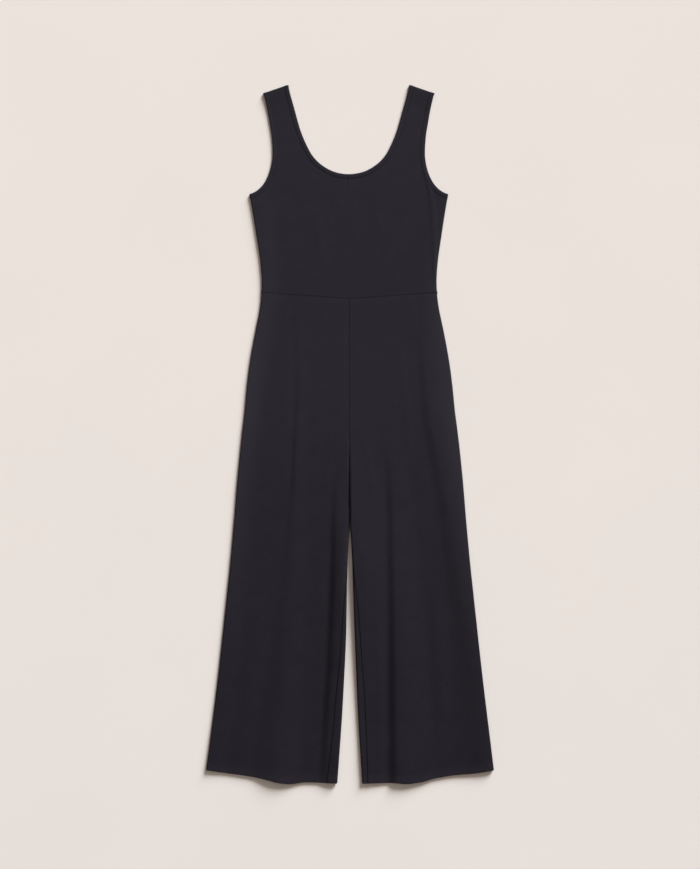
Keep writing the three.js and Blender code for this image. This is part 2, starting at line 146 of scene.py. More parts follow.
# Inner edge of each leg, the radius of its rolled fold, how far the fold lifts off the floor and
# how far from the edge the cloth comes down again
innerEdges = table(
    "y right left rightRoll leftRoll rightLift leftLift rightReach leftReach",
    (110, 1.43, -1.37, 0.95, 0.95, 0, 0, 60, 60), (-5, 1.43, -1.37, 0.95, 0.95, 0.35, 0.35, 60, 60),
    (-25, 1.2, -1.17, 1.0, 1.0, 0.35, 0.5, 50, 64), (-45, 0.87, -0.97, 1.1, 1.2, 0.2, 0.8, 40, 70),
    (-71, 0.5, -0.74, 1.3, 1.6, 0.05, 1.05, 34, 78), (-101, 0.2, -0.6, 1.4, 2.1, 0, 1.2, 30, 86),
    (-131, 0, -0.5, 1.6, 2.6, 0, 1.4, 30, 94), (-151, 0.1, -0.2, 1.9, 2.9, 0.1, 1.7, 30, 98),
    (-171, 0.1, -0.1, 2.2, 3.1, 0.2, 2.2, 30, 100), (-191, 0.7, 0.4, 2.4, 3.3, 0.3, 2.7, 30, 102),
    (-211, 2.1, 1.7, 2.6, 3.4, 0.4, 3.2, 30, 104),
    (-251, 4.6, 3.9, 2.7, 3.5, 0.5, 4.0, 28, 106), (-291, 5.8, 5.4, 2.7, 3.5, 0.5, 4.0, 28, 104),
    (-331, 6.4, 6.8, 2.6, 3.3, 0.5, 3.6, 28, 98), (-411, 8.0, 9.7, 2.4, 2.8, 0.5, 2.5, 30, 84),
    (-491, 11.8, 13.0, 2.2, 2.5, 0.5, 1.6, 32, 72), (-571, 16.3, 16.6, 2.1, 2.2, 0.5, 0.9, 34, 62),
    (-698, 25.4, 24.4, 2.0, 2.0, 0.5, 0.5, 36, 52),
)

# How far the back panel reaches round each inner fold onto the front, along the cloth. Below zero
# the front panel reaches under the fold.
inseams = table(
    "y right left",
    (-6, 0, 0), (-30, -1.5, -1.5), (-70, -2.4, -2.4), (-140, -2.0, -1.2),
    (-230, 0, 1.6), (-289, 2.6, 5.2), (-333, 6.2, 9.0), (-383, 9.4, 11.2),
    (-449, 11.6, 13.0), (-521, 15.2, 15.2), (-600, 17.2, 14.8), (-650, 19.6, 13.2),
    (-698, 22.0, 11.6),
)

# The lower edge of each leg, from the side seam inwards
hemEdges = {
    "right": table(
        "out y",
        (288, -670.4), (252, -676.0), (204, -682.4), (172, -688.4), (142, -695.8),
        (118, -698.2), (88, -695.0), (40, -696.6), (22, -696.8),
    ),
    "left": table(
        "out y",
        (288, -670.4), (252, -676.8), (204, -681.4), (168, -687.6), (146, -693.6),
        (114, -697.6), (88, -696.0), (40, -697.0), (22, -697.4),
    ),
}

# The main folds of each leg: where the crest lies, its rise and how far its two slopes run
folds = {
    "right": [
        foldTable(
            (277, 107, 0, 8, 22), (110, 101, 0.6, 7, 24), (0, 107, 1.1, 6, 26),
            (-60, 110, 1.5, 6, 30), (-163, 114, 1.1, 12, 36), (-343, 124, 1.5, 26, 46),
            (-575, 139, 3.4, 50, 56), (-698, 150, 5.4, 60, 60),
        ),
        foldTable(
            (-50, 20, 0, 12, 22), (-101, 24, 0.9, 13, 26), (-171, 26.5, 2.7, 13, 34),
            (-269, 27.5, 4.3, 14, 50), (-323, 29.6, 4.6, 14, 64), (-459, 33.8, 4.5, 15, 76),
            (-539, 40, 4.0, 15, 80), (-640, 45, 2.6, 16, 80), (-698, 47, 1.3, 18, 80),
        ),
    ],
    "left": [
        foldTable(
            (277, 148, 0, 40, 16), (160, 150, 1.0, 60, 18), (30, 163, 2.0, 70, 22),
            (-71, 184, 2.2, 70, 26), (-277, 218, 2.1, 70, 34), (-389, 236, 2.0, 60, 42),
            (-698, 266, 1.8, 50, 80),
        ),
        foldTable(
            (0, 79, 0, 44, 14), (-55, 84, 1.0, 46, 15), (-157, 88, 2.9, 50, 17),
            (-389, 92, 4.8, 70, 18), (-698, 96, 5.2, 96, 21),
        ),
    ],
}

# Small creases on the front, placed one by one
frontCreases = [
    ridge((566, 138, 0, 7), (520, 149, 0.35, 6), (485, 160, 0.9, 5),
          (439, 166, 1.2, 5), (389, 169, 1.1, 5), (339, 169, 1.0, 5), (295, 168, 0, 5)),
    ridge((513, -5, -0.5, 3), (500, -6, -0.5, 3), (484, -7, 0, 3)),
    ridge((458, 46, 0, 7), (430, 56, 0.35, 7), (396, 66, 0, 6)),
    ridge((330, -66, 0, 14), (312, -80, 0.3, 12), (290, -96, 0, 8)),
    ridge((-20, -34, 0, 10), (-70, -44, 0.4, 12), (-140, -52, 0, 12)),
    ridge((-10, 30, 0, 10), (-60, 40, 0.45, 12), (-130, 46, 0, 12)),
    ridge((-330, -190, 0, 20), (-470, -204, 0.5, 26), (-620, -214, 0.6, 30),
          (-698, -216, 0.4, 30)),
    ridge((-260, 170, 0, 20), (-430, 182, 0.5, 24), (-600, 190, 0.4, 28),
          (-698, 192, 0.2, 28)),
    ridge((-260, 52, 0, 10), (-420, 57, 0.5, 11), (-600, 60, 0.5, 12),
          (-698, 61, 0.3, 12)),
]

# Shallow hollows in the back, which otherwise lies flat on the floor
backCreases = [
    ridge((440, -70, 0, 12), (390, -60, 0.35, 14), (330, -52, 0, 12)),
    ridge((430, 88, 0, 12), (370, 76, 0.3, 14), (310, 70, 0, 12)),
    ridge((180, -120, 0, 14), (40, -128, 0.4, 16), (-160, -136, 0, 16)),
    ridge((200, 96, 0, 14), (60, 112, 0.4, 16), (-120, 128, 0, 16)),
    ridge((-280, -176, 0, 18), (-440, -190, 0.5, 22), (-640, -204, 0.2, 22)),
    ridge((-300, 168, 0, 18), (-480, 176, 0.5, 22), (-660, 186, 0.2, 22)),
]

neckEdge = table(
    "out y",
    (0, 520.4), (20, 522.6), (38.4, 529), (57.1, 541), (69.2, 553), (77.8, 565.5),
    (89.2, 589), (98.2, 613), (108.2, 649), (117.2, 681), (121.2, 698.3),
)

armholeEdge = table(
    "out y",
    (199, 479.2), (190, 483.4), (181, 489.2), (172.4, 498), (166.4, 507), (160.2, 520),
    (155.6, 535), (152.8, 551), (152.2, 566), (152.9, 582), (154.6, 600), (158.3, 622),
    (163.2, 650), (170.8, 682.6),
)

hem = {
    "rows": [17.5, 20.6],   # a twin row of stitches, above the lower edge
    "pull": 0.06,           # how far they draw the cloth in
    "pullReach": 2.6,
    "step": 1.2,            # over which the turned-up layer ends
    "edgeRound": 0.9,
    "paling": 0.32,
    "palingReach": 30.0,
}

# Painted sheen: paler cloth beside the folded sides and at the hips. What ends in More is added on the
# wearer's left, which faces the key light, and taken off on the right.
paling = {
    "side": 0.84,
    "sideMore": 0.08,
    "reach": 54,
    "reachMore": 8,
    "hip": 0.2,
    "hipLevel": 120,
    "hipReach": 150,
    "top": 130,             # it fades slowly above this level and below the bottom one
    "fadeUp": 380,
    "bottom": 80,
    "fadeDown": 620,
}

legs = [
    {"name": "right", "title": "Right", "side": -1},
    {"name": "left", "title": "Left", "side": 1},
]


def fade(share):
    angle = np.clip(share, 0, 1) * math.pi / 2
    return np.cos(angle) ** 2


def mix(low, high, share):
    return low + (high - low) * share


def soft(distance, width):
    return np.exp(-(distance / width) ** 2)


# Smooth value of a table's column
def along(rows, column, at, key="y"):
    order = np.argsort(rows[key])
    keys = rows[key][order]
    values = rows[column][order]
    before = np.maximum(np.arange(len(keys)) - 1, 0)
    after = np.minimum(np.arange(len(keys)) + 1, len(keys) - 1)
    slopes = (values[after] - values[before]) / (keys[after] - keys[before])
    at = np.clip(at, keys[0], keys[-1])
    i = np.clip(np.searchsorted(keys, at, side="right") - 1, 0, len(keys) - 2)
    span = keys[i + 1] - keys[i]
    f = (at - keys[i]) / span
    straight = mix(values[i], values[i + 1], f * f * (3 - 2 * f))
    return straight + f * (1 - f) * span * (slopes[i] * (1 - f) - slopes[i + 1] * f)


def creaseRise(creases, x, y):
    total = np.zeros(np.broadcast(x, y).shape)
    for crease in creases:
        offset = np.abs(x - along(crease, "x", y))
        total += along(crease, "rise", y) * fade(offset / along(crease, "width", y))
    return total


# Slow unevenness of cloth that was smoothed out by hand
def unevenness(x, y):
    waves = (
        (0.07, 0.021, 0.013, 0.4), (0.06, -0.034, 0.027, 1.9), (0.05, 0.055, -0.019, 4.1),
        (0.04, 0.012, 0.074, 2.6), (0.03, 0.083, 0.049, 5.2), (0.025, -0.061, 0.102, 0.9),
    )
    return sum(size * np.sin(alongX * x + alongY * y + start) for size, alongX, alongY, start in waves)


def waistLine(out):
    share = np.clip(np.abs(out) / levels["waistHalf"], 0, 1)
    return mix(levels["waistCentre"], levels["waistSide"], share)


def sideCentre(y):
    bulk = seams["bulk"] * soft(y - levels["waistSide"], seams["bulkReach"])
    return along(sideSections, "half", y) + bulk - cloth["wall"] / 2 - rolls["side"]


def shoulderCentre(out):
    slope = levels["shoulderSlope"] * np.maximum(out - levels["shoulderInner"], 0)
    return levels["shoulderTop"] - slope - cloth["wall"] / 2 - rolls["shoulder"]


quarterSide = math.pi / 2 * rolls["side"]
quarterShoulder = math.pi / 2 * rolls["shoulder"]


# Points of the bodice from their places on the cloth smoothed out flat
def bodiceSurface(face, side, out, y):
    rollCentre = sideCentre(y)
    topCentre = shoulderCentre(out)
    sewn = fade((y - levels["underarm"]) / rolls["fade"])
    middle = along(sideSections, "middle", y)
    flatX = middle + side * out
    quiet = 1 - fade((rollCentre - out) / rolls["quiet"])
    low = cloth["wall"] / 2 + creaseRise(backCreases, flatX, y) * quiet
    bySide = (2 * rolls["side"] - cloth["apart"]) * fade((rollCentre - out) / rolls["fade"]) * sewn
    byTop = (2 * rolls["shoulder"] - cloth["apart"]) * fade((topCentre - y) / rolls["fade"])
    ripple = np.maximum(unevenness(flatX, y), cloth["deepest"]) * quiet
    high = low + cloth["apart"] + bySide + byTop + creaseRise(frontCreases, flatX, y) + ripple
    sideAngle = np.maximum(out - rollCentre, 0) / rolls["side"]
    topAngle = np.maximum(y - topCentre, 0) / rolls["shoulder"]
    plan = np.minimum(out, rollCentre) + rolls["side"] * np.sin(sideAngle)
    up = np.minimum(y, topCentre) + rolls["shoulder"] * np.sin(topAngle)
    drop = (2 - np.cos(sideAngle) - np.cos(topAngle)) * (high - low) / 2
    z = high - drop if face == front else low + drop
    return np.stack([middle + side * plan, up, z], axis=-1)


def foldRise(leg, out, y):
    total = 0
    for fold in folds[leg["name"]]:
        offset = out - along(fold, "out", y)
        reach = np.where(offset > 0, along(fold, "outer", y), along(fold, "inner", y))
        total = total + along(fold, "rise", y) * fade(np.abs(offset) / reach)
    return total


def legSection(leg, y):
    roll = along(innerEdges, leg["name"] + "Roll", y)
    curl = np.clip((levels["crotch"] - y) / levels["crotchBlend"], 0.001, 1)
    bend = np.sin(curl * math.pi / 2)
    middle = along(sideSections, "middle", y)
    seamEdge = leg["side"] * levels["centreSeam"] + cloth["seamHalf"]
    innerEdge = np.where(y > levels["crotch"], seamEdge, along(innerEdges, leg["name"], y))
    arc = roll * math.pi / 2
    outer = sideCentre(y) + leg["side"] * middle
    inner = innerEdge + bend * (roll / curl + cloth["wall"] / 2)
    return {
        "roll": roll, "curl": curl, "arc": arc, "outer": outer, "inner": inner,
        "full": arc + outer - inner + quarterSide,
    }


def hemLine(leg, out):
    return along(hemEdges[leg["name"]], "y", out, key="out")


# Points of a leg. The way round its section runs from zero at the inner fold, positive over the
# front and negative under the back, to the side seam.
def legSurface(leg, way, y):
    section = legSection(leg, y)
    over = way >= 0
    reach = np.abs(way) - section["arc"]
    width = section["outer"] - section["inner"]
    out = section["inner"] + np.clip(reach, 0, width)
    flatX = leg["side"] * out
    rise = foldRise(leg, out, y)
    nearInner = fade((out - section["inner"]) / along(innerEdges, leg["name"] + "Reach", y))
    nearOuter = fade((section["outer"] - out) / rolls["fade"])
    toOuter = fade((section["outer"] - out) / rolls["quiet"])
    toInner = fade((out - section["inner"]) / rolls["quiet"])
    quiet = 1 - np.maximum(toOuter, toInner)
    hemStart = y - hemLine(leg, out) - cloth["hemDepth"]
    nearHem = fade(hemStart / (levels["hemRiseStart"] - cloth["hemDepth"]))
    lift = np.maximum(along(innerEdges, leg["name"] + "Lift", y), 0) * nearInner
    low = cloth["wall"] / 2 + lift + rolls["shareBelow"] * rise + cloth["hemLift"] * nearHem
    low = low + creaseRise(backCreases, flatX, y) * quiet
    apart = cloth["apart"] + (2 * section["roll"] - cloth["apart"]) * nearInner
    apart = apart + (2 * rolls["side"] - cloth["apart"]) * nearOuter
    apart = apart + (1 - rolls["shareBelow"]) * rise + 2 * cloth["hemExtra"] * nearHem
    small = creaseRise(frontCreases, flatX, y) + np.maximum(unevenness(flatX, y), cloth["deepest"])
    apart = apart + small * quiet
    innerAngle = np.maximum(-reach, 0) * section["curl"] / section["roll"]
    outerAngle = np.maximum(reach - width, 0) / rolls["side"]
    plan = out - np.sin(innerAngle) * section["roll"] / section["curl"]
    plan = plan + np.sin(outerAngle) * rolls["side"]
    drop = (1 - np.cos(innerAngle)) * apart / 2 / section["curl"]
    drop = drop + (1 - np.cos(outerAngle)) * apart / 2
    z = np.where(over, low + apart - drop, low + drop)
    return np.stack([leg["side"] * plan, np.broadcast_to(y, z.shape), z], axis=-1)


# The outward direction of a surface, from its neighbours on both sides
def surfaceNormals(surface, a, b, sign):
    step = 0.02
    alongA = surface(a + step, b) - surface(a - step, b)
    alongB = surface(a, b + step) - surface(a, b - step)
    normals = np.cross(alongA, alongB) * sign
    return normals / np.linalg.norm(normals, axis=-1, keepdims=True)


def onBodice(face, side, out, y):
    surface = lambda a, b: bodiceSurface(face, side, a, b)
    return surface(out, y), surfaceNormals(surface, out, y, side * face)


def onLeg(leg, way, y):
    surface = lambda a, b: legSurface(leg, a, b)
    return surface(way, y), surfaceNormals(surface, way, y, leg["side"])


# Distances from 0 to a length, close together at both ends
def spread(length, step, lowEnd, highEnd):
    count = max(int((length - lowEnd[-1] - highEnd[-1]) / step), 1)
    middle = np.linspace(lowEnd[-1], length - highEnd[-1], count + 1)
    tail = length - np.array(highEnd[:-1][::-1])
    return np.concatenate([np.array(lowEnd[:-1]), middle, tail])


# Where the mesh has its rows beside a seam and beside a rolled fold
closeEnd = [0, 0.35, 0.8, 1.4, 2.1, 3, 4.2, 6, 8.5, 12]
rollEnd = [0, 0.35, 0.7, 1.1, 1.5, 1.9, 2.3, 2.7, 3.1, 3.6, 4.4, 5.6, 7.4, 10]
meshing = {
    "bodiceAcross": 41,
    "legAcross": 56,
    "wrapAcross": 34,       # from under the inner fold round to the inside leg seam
    "wrapStart": -14.0,
    "wrapEnd": 1.4,
    "settle": 4,            # rounds in which rows settle on a line that depends on their own place
}


def gridQuads(numbers, closed=False):
    rows = np.vstack([numbers, numbers[:1]]) if closed else numbers
    corners = [rows[:-1, :-1], rows[:-1, 1:], rows[1:, 1:], rows[1:, :-1]]
    return np.stack(corners, axis=-1).reshape(-1, 4)


def seamDitch(distance, width):
    return cloth["seamDepth"] * soft(distance, cloth[width])


# From a little at a folded edge to 1 at the end of its rounding
def rounded(distance, radius, least):
    return np.sqrt(1 - (1 - np.clip(distance / radius, least, 1)) ** 2)


# A smooth piece from points in millimetres. Marks are values that the finish reads at each point.
def addPiece(name, points, faces, marks):
    mesh = bpy.data.meshes.new(name)
    mesh.from_pydata((points * millimetre).tolist(), [], faces)
    mesh.update()
    for title, values in marks.items():
        mark = mesh.attributes.new(title, "FLOAT", "POINT")
        mark.data.foreach_set("value", values.astype(np.float32))
    mesh.shade_smooth()
    piece = bpy.data.objects.new(name, mesh)
    bpy.context.collection.objects.link(piece)
    return piece


# A closed wall round a sheet of quads, with the reach of its outer and inner side at each point
def wallMesh(name, points, normals, outer, inner, quads, marks):
    points = points.reshape(-1, 3)
    normals = normals.reshape(-1, 3)
    a, b, _, d = points[quads[0]]
    if np.dot(np.cross(b - a, d - a), normals[quads[0][0]]) < 0:
        quads = quads[:, ::-1]
    count = len(points)
    shell = np.vstack([
        points + normals * outer.reshape(-1, 1),
        points - normals * inner.reshape(-1, 1),
    ])
    starts = quads.reshape(-1)
    ends = np.roll(quads, -1, axis=1).reshape(-1)
    onEdge = ~np.isin(starts * count + ends, ends * count + starts)
    rim = np.stack([ends, starts, starts + count, ends + count], axis=-1)[onEdge]
    faces = np.vstack([quads, quads[:, ::-1] + count, rim])
    both = {title: np.tile(np.clip(values, 0, 1).reshape(-1), 2) for title, values in marks.items()}
    return addPiece(name, shell, faces.tolist(), both)


# Values at places along a line, from those at its points
def sampled(at, distance, values):
    return np.stack([np.interp(at, distance, column) for column in values.T], axis=-1)


# Curves of the two cut edges, by distance along them
def edgeCurve(rows, mirrored):
    outs = rows["out"]
    ys = rows["y"]
    if mirrored:
        outs = np.concatenate([-outs[:0:-1], outs])
        ys = np.concatenate([ys[:0:-1], ys])
    chord = np.concatenate([[0], np.cumsum(np.hypot(np.diff(outs), np.diff(ys)))])
    knots = {"t": chord, "out": outs, "y": ys}
    samples = 4000
    t = np.linspace(0, chord[-1], samples)
    curve = np.stack([along(knots, "out", t, key="t"), along(knots, "y", t, key="t")], axis=-1)
    if mirrored:
        curve = curve[samples // 2:]
        curve[0] = (0, ys[len(ys) // 2])
    steps = np.linalg.norm(np.diff(curve, axis=0), axis=1)
    distance = np.concatenate([[0], np.cumsum(steps)])
    tangent = np.gradient(curve, distance, axis=0)
    if mirrored:
        tangent[0] = (1, 0)
    return {"distance": distance, "points": curve, "tangents": tangent, "length": distance[-1]}


neckCurve = edgeCurve(neckEdge, True)
armholeCurve = edgeCurve(armholeEdge, False)


def onCurve(curve, key, distance):
    return sampled(distance, curve["distance"], curve[key])


def nearEnd(distance):
    return fade((distance - binding["keep"]) / binding["keepFade"])


# Near the shoulder seam a place keeps its distance from the seam
def atShoulder(out, y, distance):
    level = shoulderCentre(out) + quarterShoulder - distance
    return out, mix(y, level, nearEnd(distance))


def neckPlace(distance, inward):
    edge = onCurve(neckCurve, "points", distance)
    tangent = onCurve(neckCurve, "tangents", distance)
    out = edge[..., 0] + tangent[..., 1] * inward
    y = edge[..., 1] - tangent[..., 0] * inward
    return atShoulder(out, y, neckCurve["length"] - distance)


def armholePlace(distance, inward):
    edge = onCurve(armholeCurve, "points", distance)
    tangent = onCurve(armholeCurve, "tangents", distance)
    share = fade(distance / binding["turn"])
    turnOut = mix(-tangent[..., 1], 0, share)
    turnUp = mix(tangent[..., 0], -1, share)
    size = np.hypot(turnOut, turnUp)
    out = edge[..., 0] + turnOut / size * inward
    y = edge[..., 1] + turnUp / size * inward
    seamOut = sideCentre(y) + quarterSide
    out = mix(out, seamOut - binding["lean"] * distance, nearEnd(distance))
    return atShoulder(out, y, armholeCurve["length"] - distance)


neckStations = spread(neckCurve["length"], cloth["grid"], [0, cloth["grid"]], rollEnd)
armholeStations = spread(armholeCurve["length"], cloth["grid"], rollEnd, rollEnd)
# Each strip goes once round its edge: the parts of its loop by face, side and places along the edge
neckRound = (
    (front, -1, neckStations[::-1]), (front, 1, neckStations[1:]),
    (back, 1, neckStations[::-1][1:]), (back, -1, neckStations[1:-1]),
)


def armholeRound(side):
    return (front, side, armholeStations[::-1]), (back, side, armholeStations[1:-1])


# Painted sheen: paler cloth beside the rounded sides and at the hips, more on the side facing the key
# light
def paintedSideSheen(side, out, y):
    fromSide = sideCentre(y) + quarterSide - out
    beside = paling["side"] + paling["sideMore"] * side
    beside = beside * fade(fromSide / (paling["reach"] + paling["reachMore"] * side))
    beside = beside + paling["hip"] * soft(y - paling["hipLevel"], paling["hipReach"])
    above = fade((y - paling["top"]) / paling["fadeUp"] * (y > paling["top"]))
    below = fade((paling["bottom"] - y) / paling["fadeDown"] * (y < paling["bottom"]))
    return beside * above * below


# Places across one half of a bodice panel, rows from the side or armhole to the middle or neck
def bodicePlaces():
    seam = cloth["seamHalf"]
    inward = binding["width"] + seam
    armOut, armY = armholePlace(armholeStations, inward)
    neckOut, neckY = neckPlace(neckStations, inward)
    sideY = spread(armY[0] - levels["waistSide"] - seam, cloth["grid"], closeEnd, [0, cloth["grid"]])
    sideY = sideY[:-1] + levels["waistSide"] + seam
    sideOut = sideCentre(sideY) + quarterSide - seam
    armOut[0] = sideCentre(armY[0]) + quarterSide - seam
    outerOut = np.concatenate([sideOut, armOut])
    outerY = np.concatenate([sideY, armY])
    centreCount = len(outerOut) - len(neckOut)
    centreY = np.linspace(levels["waistCentre"] + seam, neckY[0], centreCount + 1)[:-1]
    closeRows = len(closeEnd) - 1
    centreY[:closeRows] = centreY[0] + (sideY[:closeRows] - sideY[0])
    restRows = centreCount - closeRows
    centreY[closeRows:] = np.linspace(centreY[closeRows - 1], neckY[0], restRows + 2)[1:-1]
    innerOut = np.concatenate([np.zeros(centreCount), neckOut])
    innerY = np.concatenate([centreY, neckY])
    for edge in (outerY, innerY):
        edge[-1] -= seam
    length = np.hypot(outerOut - innerOut, outerY - innerY)[:, None]
    innerEnd = [0, 0.35, 0.8, 1.4, 2.2, 3.4, 5]
    near = np.array(rollEnd)
    shares = np.linspace(0, 1, meshing["bodiceAcross"])
    middle = mix(near[-1], length - innerEnd[-1], shares[1:-1])
    outerPart = np.broadcast_to(near, (len(length), len(near)))
    innerPart = length - np.array(innerEnd[::-1])
    distance = np.hstack([outerPart, middle, innerPart])
    share = distance / length
    out = mix(outerOut[:, None], innerOut[:, None], share)
    y = mix(outerY[:, None], innerY[:, None], share)
    out[:centreCount + 1, -1] = 0
    atNeck = np.arange(len(length))[:, None] > centreCount
    fromInner = np.where(atNeck, length - distance, np.inf)
    fromEdge = np.minimum(np.minimum(distance, fromInner), y - waistLine(out))
    return {
        "out": out, "y": y, "joinedRows": centreCount + 1, "distance": distance, "fromEdge": fromEdge,
    }


def bodicePanel(name, face):
    places = bodicePlaces()
    joined = slice(0, places["joinedRows"])
    rowCount, columnCount = places["out"].shape
    parts = []
    numbers = []
    start = 0
    for side in (-1, 1):
        points, normals = onBodice(face, side, places["out"], places["y"])
        normals[joined, -1, 0] = 0
        grid = np.arange(rowCount * columnCount).reshape(rowCount, columnCount) + start
        parts.append((points, normals))
        numbers.append(grid)
        start += rowCount * columnCount
    numbers[1][joined, -1] = numbers[0][joined, -1]
    quads = np.vstack([gridQuads(numbers[0][:, ::-1]), gridQuads(numbers[1])])
    points = np.vstack([part[0].reshape(-1, 3) for part in parts])
    normals = np.vstack([part[1].reshape(-1, 3) for part in parts])
    fromEdge = np.tile(places["fromEdge"].reshape(-1), 2)
    # Painted sheen beside the sides, as a paler mark
    wearAndPaintedSheen = np.stack([paintedSideSheen(side, places["out"], places["y"]) for side in (-1, 1)]).reshape(-1)
    atSide = np.tile((places["fromEdge"] == places["distance"]).reshape(-1), 2)
    depth = np.where(atSide, seams["side"], seams["ends"])
    outer = cloth["wall"] / 2 - seamDitch(fromEdge, "seamSteep") * depth
    inner = np.full_like(outer, cloth["wall"] / 2)
    used, where = np.unique(quads, return_inverse=True)
    # Painted shade: the cloth darkens beside its seams
    sunk = seams["tint"] * soft(fromEdge, seams["paintedShadeReach"])
    marks = {"wearAndPaintedSheen": wearAndPaintedSheen[used], "sunk": sunk[used]}
    return wallMesh(
        name, points[used], normals[used], outer[used], inner[used], where.reshape(quads.shape), marks,
    )


legRows = spread(
    levels["waistCentre"] - levels["hemLow"], cloth["grid"], closeEnd,
    [0, 0.25, 0.6, 1.1, 1.8, 3, 6, 10, 14, 18, 20.5, 21.4, 22.6, 23.5, 27],
)
legShares = legRows / (levels["waistCentre"] - levels["hemLow"])


# Places round one leg panel, from its side seam to the inside leg seam
def panelWays(leg, face, y):
    section = legSection(leg, y)
    shares = np.linspace(0, 1, meshing["legAcross"])[None, 1:-1]
    end = along(inseams, leg["name"], y)
    outerPart = section["full"] - np.array(rollEnd)[None, :] - cloth["seamHalf"]
    if face == front:
        innerPart = end + np.array(closeEnd)[None, ::-1] + cloth["seamHalf"]
        middle = mix(outerPart[:, -1:], innerPart[:, :1], shares)
        return np.hstack([outerPart, middle, innerPart])
    wrapShares = np.linspace(0, 1, meshing["wrapAcross"])[None, :]
    wrap = mix(meshing["wrapStart"], end - cloth["seamHalf"] - meshing["wrapEnd"], wrapShares)
    seamPart = end - cloth["seamHalf"] - np.array([1.0, 0.6, 0.3, 0])[None, :]
    middle = mix(-outerPart[:, -1:], meshing["wrapStart"], shares)
    middle = np.broadcast_to(middle, (len(end), middle.shape[-1]))
    return np.hstack([-outerPart, middle, wrap, seamPart])


def legPanel(name, leg, face):
    rows = len(legShares)
    level = mix(levels["waistCentre"], levels["hemLow"], legShares)[:, None]
    columns = panelWays(leg, face, level).shape[1]
    y = np.broadcast_to(level, (rows, columns)).copy()
    ways = np.zeros((rows, columns))
    for _ in range(meshing["settle"]):
        for column in range(columns):
            ways[:, column] = panelWays(leg, face, y[:, column:column + 1])[:, column]
        out = leg["side"] * legSurface(leg, ways, y)[..., 0]
        top = waistLine(out - leg["side"] * levels["centreSeam"]) - cloth["seamHalf"]
        y = mix(top, hemLine(leg, out), legShares[:, None])
    points, normals = onLeg(leg, ways, y)
    out = leg["side"] * points[..., 0]
    fromHem = y - hemLine(leg, out)
    fromWaist = waistLine(out - leg["side"] * levels["centreSeam"]) - y
    fromInseam = np.abs(ways - along(inseams, leg["name"], y))
    fromSide = legSection(leg, y)["full"] - np.abs(ways)
    # Of two edges sewn together, the one on the photograph's right lies higher
    onLeft = (face == front) == (leg["side"] < 0)
    # The seams below the crotch are the deeper ones
    below = fade((y - levels["crotch"]) / seams["deepening"] + 1)
    ditch = seamDitch(fromInseam, "seamGentle" if onLeft else "seamSteep")
    ditch = ditch * mix(seams["upper"], 1, below)
    ditch = np.maximum(ditch, seams["upper"] * seamDitch(fromWaist, "seamGentle"))
    ditch = np.maximum(ditch, seams["side"] * seamDitch(fromSide, "seamSteep"))
    half = cloth["wall"] / 2
    inHem = np.clip((cloth["hemDepth"] - fromHem) / hem["step"], 0, 1)
    thick = half + cloth["hemExtra"] * inHem
    roundness = rounded(fromHem, hem["edgeRound"], 0.06)
    centre = (half - thick) / 2
    stitched = hem["pull"] * soft(fromHem - np.mean(hem["rows"]), hem["pullReach"])
    outer = centre + (half - centre) * roundness - ditch - stitched
    inner = -centre + (thick + centre) * roundness
    fromSeam = np.minimum(np.minimum(fromWaist, fromInseam), fromSide)
    # Marks: paler cloth from the painted side sheen and towards the hem, and painted shade beside the
    # seams, full strength below the crotch
    marks = {
        "wearAndPaintedSheen": paintedSideSheen(leg["side"], out, y) + hem["paling"] * fade(fromHem / hem["palingReach"]),
        "sunk": soft(fromSeam, seams["paintedShadeReach"]) * mix(seams["tint"], 1, below),
    }
    numbers = np.arange(rows * columns).reshape(rows, columns)
    return wallMesh(name, points, normals, outer, inner, gridQuads(numbers), marks)


# Bulk where a strip crosses a seam, as an offset outwards from the edge
def seamBulge(distance, length, atStart):
    bulge = soft(length - distance, binding["bulgeReach"])
    if atStart:
        bulge = bulge + soft(distance, binding["bulgeReach"])
    return binding["bulge"] * bulge


def bindingCrown(inward):
    return binding["crown"] * np.sin(np.clip(inward / binding["width"], 0, 1) * math.pi)


bindingStitch = binding["width"] - binding["sewnAt"]


def bindingProfile(inward):
    rounding = rounded(inward, binding["edgeRound"], 0.05)
    nearSeam = soft(binding["width"] - inward, binding["seamDipReach"]) * binding["seamDip"]
    nearStitch = soft(bindingStitch - inward, binding["stitchDipReach"]) * binding["stitchDip"]
    return binding["thickness"] / 2 * rounding + bindingCrown(inward) - nearSeam - nearStitch


# The strips stand a little over the cloth above, and rest on the floor below
def onStrip(face, side, out, y):
    points, normals = onBodice(face, side, out, y)
    shift = binding["proud"] if face == front else binding["restBelow"]
    points[..., 2] += shift * np.abs(normals[..., 2])
    return points, normals


bindingAcross = np.array([0, 0.2, 0.5, 1.0, 2.0, 3.4, 4.8, 6.0, 6.5, 7.0, 7.6, 8.2, 8.6, 8.97])


def bindingPart(place, length, atStart, face, side, distance):
    inward = np.broadcast_to(bindingAcross, (len(distance), len(bindingAcross)))
    station = np.broadcast_to(distance[:, None], inward.shape)
    pushed = inward - seamBulge(station, length, atStart) * fade(inward / binding["width"])
    return *onStrip(face, side, *place(station, pushed)), inward


def bindingLoop(name, place, length, atStart, strip):
    parts = [bindingPart(place, length, atStart, *part) for part in strip]
    points, normals, inward = (np.vstack(values) for values in zip(*parts))
    outer = bindingProfile(inward)
    inner = np.maximum(outer - bindingCrown(inward), binding["least"])
    numbers = np.arange(inward.size).reshape(inward.shape)
    # Marks: paler wear along the strip's free edge, and painted shade beside its seam with the body
    marks = {
        "wearAndPaintedSheen": binding["paling"] * soft(inward, binding["palingReach"]),
        "sunk": seams["tint"] * soft(binding["width"] - inward, binding["paintedShadeReach"]),
    }
    return wallMesh(name, points, normals, outer, inner, gridQuads(numbers, closed=True), marks)


